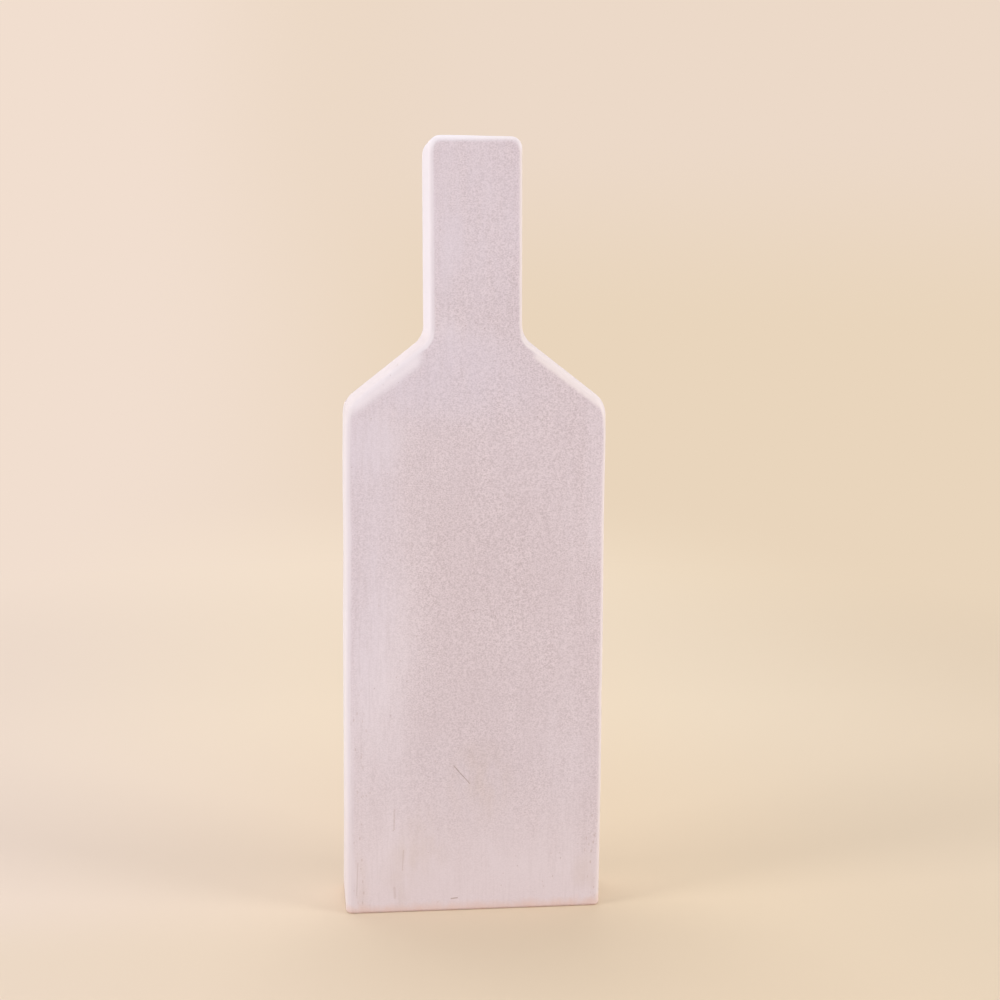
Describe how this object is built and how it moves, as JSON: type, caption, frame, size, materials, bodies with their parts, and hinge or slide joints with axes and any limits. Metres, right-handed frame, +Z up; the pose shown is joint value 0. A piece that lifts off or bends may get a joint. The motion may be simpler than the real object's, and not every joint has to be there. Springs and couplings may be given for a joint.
{
  "type": "bottle vase",
  "caption": "Flat slab-built clay bottle vase: rectangular body, straight sloping shoulders, narrow rectangular neck with an open mouth, hollow inside, on a flat base.",
  "frame": {"origin": "on the table under the middle of the body, at the centre of the flat base", "axes": "+Z up along the neck, the broad front face looks along -Y, +X to the right seen from the front"},
  "size_m": [0.1006, 0.036, 0.3],
  "materials": {
    "brushed_slip": "matte brushed slip",
    "bare_clay": "unglazed fired clay"
  },
  "bodies": {
    "root": {"front_slab": "brushed_slip", "back_slab": "brushed_slip", "left_side_wall": "brushed_slip", "right_side_wall": "brushed_slip", "left_shoulder_wall": "brushed_slip", "right_shoulder_wall": "brushed_slip", "left_neck_wall": "brushed_slip", "right_neck_wall": "brushed_slip", "base_strip": "bare_clay", "base_seam_coil": "bare_clay", "left_side_seam_coil": "bare_clay", "right_side_seam_coil": "bare_clay", "left_shoulder_seam_coil": "bare_clay", "right_shoulder_seam_coil": "bare_clay", "left_foot_corner_coil": "bare_clay", "right_foot_corner_coil": "bare_clay", "left_shoulder_corner_coil": "bare_clay", "right_shoulder_corner_coil": "bare_clay"}
  },
  "joints": []
}
